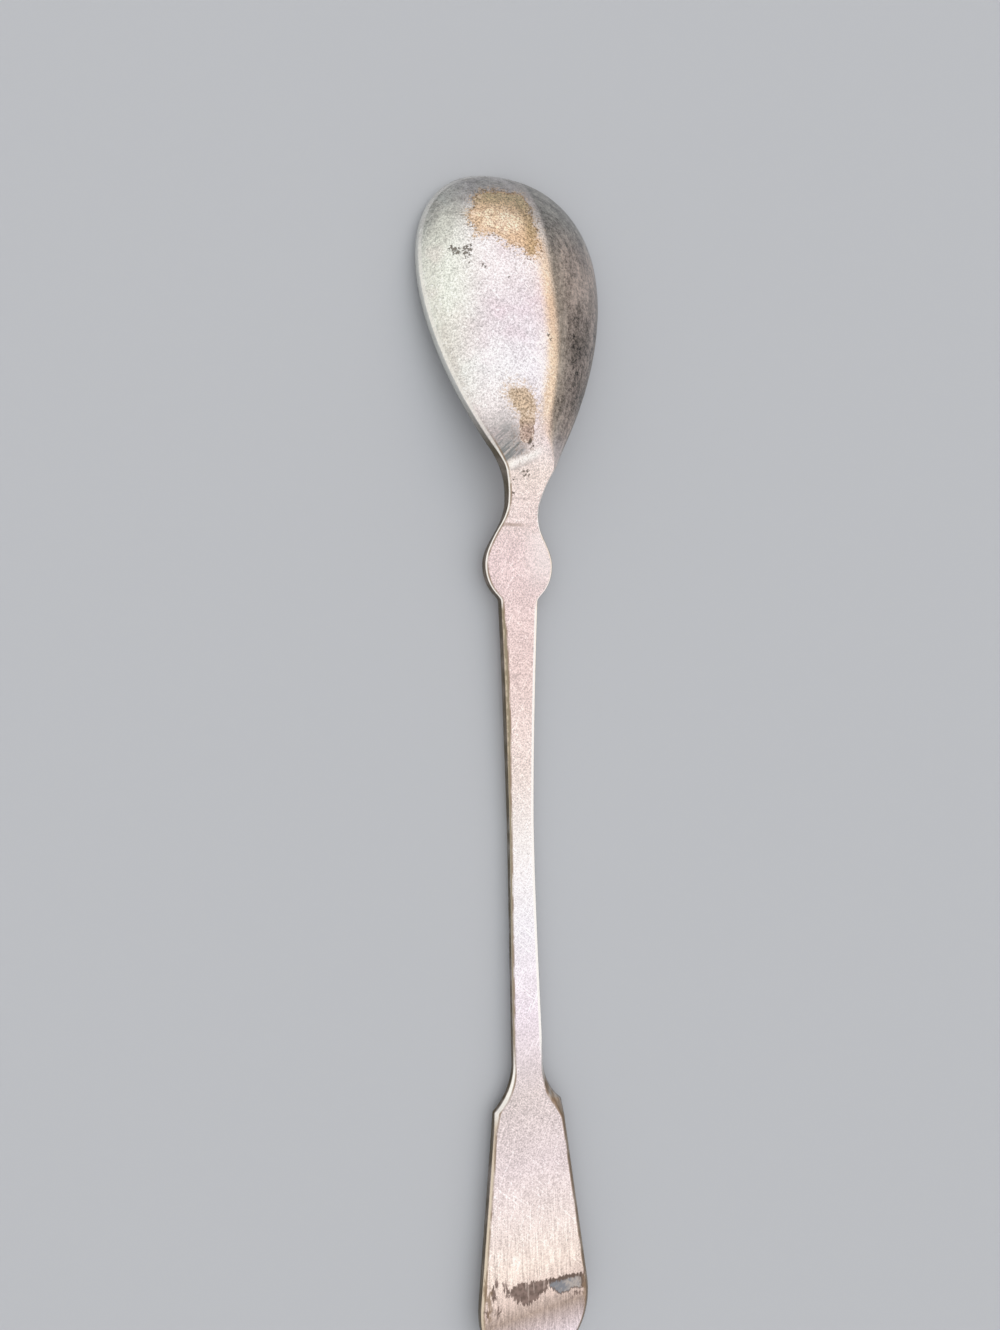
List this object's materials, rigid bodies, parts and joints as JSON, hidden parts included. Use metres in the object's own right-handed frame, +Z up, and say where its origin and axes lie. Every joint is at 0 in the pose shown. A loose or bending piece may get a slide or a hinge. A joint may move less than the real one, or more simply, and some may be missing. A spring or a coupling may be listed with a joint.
{
  "type": "demitasse spoon",
  "caption": "Small coffee spoon of worn silver plate over brass, with an egg-shaped bowl, flat knop, slim stem and fiddle handle, lying back up.",
  "frame": {"origin": "middle of the spoon's box, on the surface that it lies on", "axes": "+Y along the spoon from the handle to the bowl's tip, +Z up out of the back of the bowl, +X across"},
  "size_m": [0.0184, 0.11, 0.0067],
  "materials": {
    "brass": "bare base metal, rubbed smooth, with brown tarnish at its edges",
    "silver": "worn silver plate, softly polished, finely scratched and pitted, with light tarnish"
  },
  "bodies": {
    "root": {"brass_blank": "brass", "silver_plate": "silver"}
  },
  "joints": []
}
